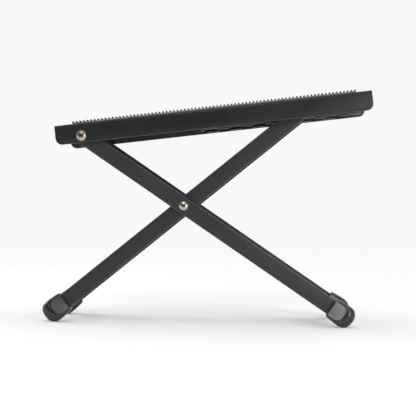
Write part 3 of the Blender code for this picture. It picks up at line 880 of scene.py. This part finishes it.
def buildBoot(kind, sideName):
    node = f"{kind}_boot_{sideName}"
    drawing = legFrames[kind]
    mouth = alongFrame(node, drawing)[0]
    centreY = middleY(node)
    piece = buildBootBody(pieceName(node), mouth, centreY)
    swellBulb(piece, mouth, centreY)
    useModifier(piece, "SUBSURF", levels=boot["smoothLevels"])
    half = boot["panelShare"] * boot["thickness"] / 2
    low, high = mouth + boot["panelStart"], mouth + boot["panelEnd"]
    addPanels(piece, low, high, half, centreY)
    # The mouth opens round the flat bar
    cutAway(piece, buildPanel("mouth", mouth - boot["mouthOverrun"], mouth + boot["mouthDepth"],
                              legBar["width"] / 2 + boot["mouthWall"], boot["mouthCorner"],
                              centreY - legBar["thickness"] / 2 - boot["mouthWall"],
                              centreY + legBar["thickness"] / 2 + boot["mouthWall"]))
    shadeSmooth(outward(piece), boot["shadeAngle"])
    panelY = half + boot["panelProud"] / 2
    # Painted sheen: the outer boots' panels take the full mark, the inner ones less
    markFaces(piece, "panelAndSheenMark", lambda face: low < face.center.x < high
              and abs(face.normal.y) > boot["panelFlatness"]
              and abs(face.center.y - centreY) > panelY, boot["panelToneAndSheen"][kind])
    settle(piece, drawing)
    # The sole is worn flat where it stands on the floor
    editPick(piece, "VERT", lambda corner: True)
    bpy.ops.mesh.bisect(plane_co=(0.0, 0.0, 0.0), plane_no=(0.0, 0.0, 1.0), clear_inner=True,
                        use_fill=True)
    objectMode()
    finishPiece(piece, bootRubber, "boot_rubber", f"{kind}_frame", node)


for kind in legFrames:
    for sideName in sides:
        buildBoot(kind, sideName)
print("boots made")


# Pivot screws with domed heads

screws = {
    "plate_screw": {"headRadius": 5.25 * mm, "headHeight": 3.2 * mm, "rim": 0.5 * mm,
                    "socket": 4.0 * mm, "shank": 3.0 * mm, "pivot": platePivot},
    "centre_screw": {"headRadius": 4.75 * mm, "headHeight": 2.6 * mm, "rim": 0.45 * mm,
                     "socket": 3.0 * mm, "shank": 2.5 * mm, "pivot": centrePivot},
}
screwDetail = {
    "endBevel": 0.4 * mm,
    "rimBevel": 0.15 * mm,
    "domeSteps": 8,
    "turnSteps": 56,
    "socketShare": 0.75,  # of the head's height
    "socketOverrun": 2.0 * mm,
    "mouthBevel": 0.35 * mm,
    "mouthSides": 48,
    "mouthRise": 0.1 * mm,
    "edgeRound": 0.08 * mm,
    "edgeSegments": 2,
    "edgeAngle": 45,
    "shadeAngle": 32,
    "paintedShadeReach": 1.05,  # times half the socket's width
    "flatEnd": 0.995,  # a face that looks straighter sideways than this is left bright
    "domeShades": ((0.05, 0.15), (0.15, 0.30), (0.30, 0.45), (0.45, 0.60)),  # upward tilt, and the painted shade
}


def screwProfile(screw, length):
    detail = screwDetail
    radius, shank = screw["headRadius"], screw["shank"]
    seat = length - screw["headHeight"]
    rimTop = seat + screw["rim"]
    rise = screw["headHeight"] - screw["rim"]
    profile = [(0.0, 0.0), (shank - detail["endBevel"], 0.0), (shank, detail["endBevel"]), (shank, seat),
               (radius - detail["rimBevel"], seat), (radius, seat + detail["rimBevel"]), (radius, rimTop)]
    for step in range(1, detail["domeSteps"]):
        turn = math.pi / 2 * step / detail["domeSteps"]
        profile.append((radius * math.cos(turn), rimTop + rise * math.sin(turn)))
    return profile + [(0.0, length)]


def cutSocket(piece, screw, length):
    # A hexagon socket with a small bevel round its mouth
    detail = screwDetail
    wide = screw["socket"] / math.sqrt(3)
    depth = detail["socketShare"] * screw["headHeight"]
    tall = depth + detail["socketOverrun"]
    deselectAll()
    bpy.ops.mesh.primitive_cylinder_add(vertices=6, radius=wide, depth=tall,
                                        location=(0.0, 0.0, length - depth + tall / 2))
    cutAway(piece, newPiece("socket"))
    deselectAll()
    bpy.ops.mesh.primitive_cone_add(vertices=detail["mouthSides"], radius1=wide - detail["mouthBevel"],
                                    radius2=wide + detail["mouthBevel"], depth=2 * detail["mouthBevel"],
                                    location=(0.0, 0.0, length - detail["mouthRise"]))
    cutAway(piece, newPiece("countersink"))
    outward(piece)


def buildScrew(kind, sideName):
    node = f"{kind}_{sideName}"
    screw = screws[kind]
    side = sides[sideName]
    low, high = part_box(node)
    outerY, innerY = (low.y, high.y) if side < 0 else (high.y, low.y)
    length = abs(outerY - innerY)
    seat = length - screw["headHeight"]
    piece = turnedPiece(pieceName(node), node, screwProfile(screw, length), screwDetail["turnSteps"])
    cutSocket(piece, screw, length)
    roundEdges(piece, screwDetail["edgeRound"], screwDetail["edgeSegments"], screwDetail["edgeAngle"])
    # Painted shade: the socket and the rim round it are painted dark
    inside = screw["socket"] / 2 * screwDetail["paintedShadeReach"]
    markFaces(piece, "paintedShadeMark", lambda face: face.center.xy.length < inside and face.center.z > seat)
    shadeSmooth(piece, screwDetail["shadeAngle"])
    place = Matrix.Translation((screw["pivot"].x, innerY, screw["pivot"].z))
    settle(piece, place @ Matrix.Rotation(-side * math.pi / 2, 4, "X"))
    # Painted shade: what looks upward is painted darker, on the dome and in the socket, in place of a dark
    # reflection from above
    for tilt, paintedShadeAmount in screwDetail["domeShades"]:
        markFaces(piece, "paintedShadeMark", lambda face: face.normal.z > tilt
                  and abs(face.normal.y) < screwDetail["flatEnd"]
                  and abs(face.center.y - innerY) > seat, paintedShadeAmount)
    finishPiece(piece, nickelPlate, "nickel_screws", "outer_frame", node)


for kind in screws:
    for sideName in sides:
        buildScrew(kind, sideName)
print("screws made")


# Small parts and rails take their shape from the frame, with eased edges

easedParts = {
    "guide_rail": {"count": 1, "round": 0.42 * mm, "segments": 3,
                   "material": railPaint, "slot": "rail_paint", "body": "plate"},
    "plate_spacer": {"count": 1, "round": 0.3 * mm, "segments": 2,
                     "material": nylonBlack, "slot": "nylon_rings", "body": "outer_frame"},
    "centre_washer": {"count": 1, "round": 0.2 * mm, "segments": 2,
                      "material": nylonBlack, "slot": "nylon_rings", "body": "outer_frame"},
    "press_nut": {"count": 1, "round": 0.2 * mm, "segments": 2,
                  "material": zincPlate, "slot": "zinc_hardware", "body": "outer_frame"},
    "centre_nut": {"count": 1, "round": 0.3 * mm, "segments": 3,
                   "material": zincPlate, "slot": "zinc_hardware", "body": "outer_frame"},
    "rail_rivet": {"count": 3, "round": 0.15 * mm, "segments": 2,
                   "material": zincPlate, "slot": "zinc_hardware", "body": "plate"},
}
easedAngles = {"flat": 1, "sharp": 40, "shade": 35}


def buildEased(part, node):
    piece = linkedPiece(pieceName(node), frame["nodes"][node].data.copy())
    editAll(piece)
    bpy.ops.mesh.remove_doubles(threshold=mergeGap)
    bpy.ops.mesh.dissolve_limited(angle_limit=math.radians(easedAngles["flat"]))
    objectMode()
    roundEdges(piece, part["round"], part["segments"], easedAngles["sharp"])
    shadeSmooth(piece, easedAngles["shade"])
    finishPiece(piece, part["material"], part["slot"], part["body"], node)


for kind, part in easedParts.items():
    for sideName in sides:
        for number in range(1, part["count"] + 1):
            ending = f"_{number}" if part["count"] > 1 else ""
            buildEased(part, f"{kind}_{sideName}{ending}")
print("small parts made")


# Floor, light and camera

studio = {
    "floorColour": (0.925, 0.93, 0.94),
    "floorRough": 0.9,
    "floorSize": 80.0,
    "floorInFront": 3.0,
    "worldColour": (0.985, 0.99, 1.0),
    "worldFront": 0.06,
    "worldBack": 0.955,
    "acrossRange": (-0.7, 0.1),
    "upwardRange": (0.40, 0.70),
    "cameraPlace": (0.04755, -1.37412, 0.12550),
    "yaw": 1.988,
    "pitch": -0.659,
    "roll": -0.941,
    "lens": 121.8,
    "sensor": 36.0,
}
suns = {
    "overheadSky": {"towards": (-0.08, 0.10, -1.0), "power": 0.28, "spread": 75},
    "frontHigh": {"towards": (0.02, 0.87, -0.50), "power": 0.62, "spread": 18},
}
softboxes = {
    "rightSide": {"place": (0.66, -0.99, 0.26), "target": (0.14, -0.05, 0.02),
                  "size": (0.22, 0.45), "power": 2.6},
    "rightLow": {"place": (0.42, -0.92, 0.08), "target": (0.135, -0.054, 0.012),
                 "size": (0.25, 0.14), "power": 0.4},
    "leftRim": {"place": (-0.853, 0.304, 0.468), "target": (-0.151, -0.047, 0.018),
                "size": (0.30, 0.16), "power": 1.2},
}


def buildStage():
    size = studio["floorSize"]
    deselectAll()
    bpy.ops.mesh.primitive_plane_add(size=size, location=(0.0, size / 2 - studio["floorInFront"], 0.0))
    floor = newPiece("studioFloor")
    material = bpy.data.materials.new("studioPaper")
    material.use_nodes = True
    shader = material.node_tree.nodes["Principled BSDF"]
    shader.inputs["Base Color"].default_value = (*studio["floorColour"], 1.0)
    shader.inputs["Roughness"].default_value = studio["floorRough"]
    shader.inputs["Specular IOR Level"].default_value = 0.0
    floor.data.materials.append(material)


def buildWorld():
    # A white room, with a dark part low behind the camera
    world = bpy.data.worlds.new("studioLight")
    world.use_nodes = True
    tree = world.node_tree
    place = tree.nodes.new("ShaderNodeTexCoord")
    split = tree.nodes.new("ShaderNodeSeparateXYZ")
    tree.links.new(place.outputs["Generated"], split.inputs["Vector"])
    across = addRange(tree, split.outputs["Y"], studio["acrossRange"],
                      (studio["worldFront"], studio["worldBack"]))
    upward = addRange(tree, split.outputs["Z"], studio["upwardRange"], (0.0, studio["worldBack"]))
    background = tree.nodes["Background"]
    background.inputs["Color"].default_value = (*studio["worldColour"], 1.0)
    tree.links.new(addMath(tree, "MAXIMUM", across, upward), background.inputs["Strength"])
    bpy.context.scene.world = world


def addLamp(name, kind, power, direction):
    light = bpy.data.lights.new(name, kind)
    light.energy = power
    lamp = linkedPiece(name, light)
    lamp.rotation_euler = direction.to_track_quat("-Z", "Y").to_euler()
    return lamp


def buildLights():
    for name, sun in suns.items():
        lamp = addLamp(name, "SUN", sun["power"], Vector(sun["towards"]))
        lamp.data.angle = math.radians(sun["spread"])
    for name, box in softboxes.items():
        lamp = addLamp(name, "AREA", box["power"], Vector(box["target"]) - Vector(box["place"]))
        lamp.data.shape = "RECTANGLE"
        lamp.data.size, lamp.data.size_y = box["size"]
        lamp.location = box["place"]
        lamp.visible_camera = False


def buildCamera():
    lens = bpy.data.cameras.new("camera")
    lens.sensor_width = studio["sensor"]
    lens.lens = studio["lens"]
    camera = linkedPiece("camera", lens)
    turn = Matrix.Rotation(math.radians(studio["yaw"]), 4, "Z")
    turn = turn @ Matrix.Rotation(math.radians(studio["pitch"]), 4, "X")
    turn = turn @ Matrix.Rotation(math.radians(studio["roll"]), 4, "Y")
    turn = turn @ Matrix.Rotation(math.pi / 2, 4, "X")
    camera.matrix_world = Matrix.Translation(studio["cameraPlace"]) @ turn
    bpy.context.scene.camera = camera


buildStage()
buildWorld()
buildLights()
bpy.context.scene.view_settings.view_transform = "Standard"
buildCamera()
print("stage, light and camera set")
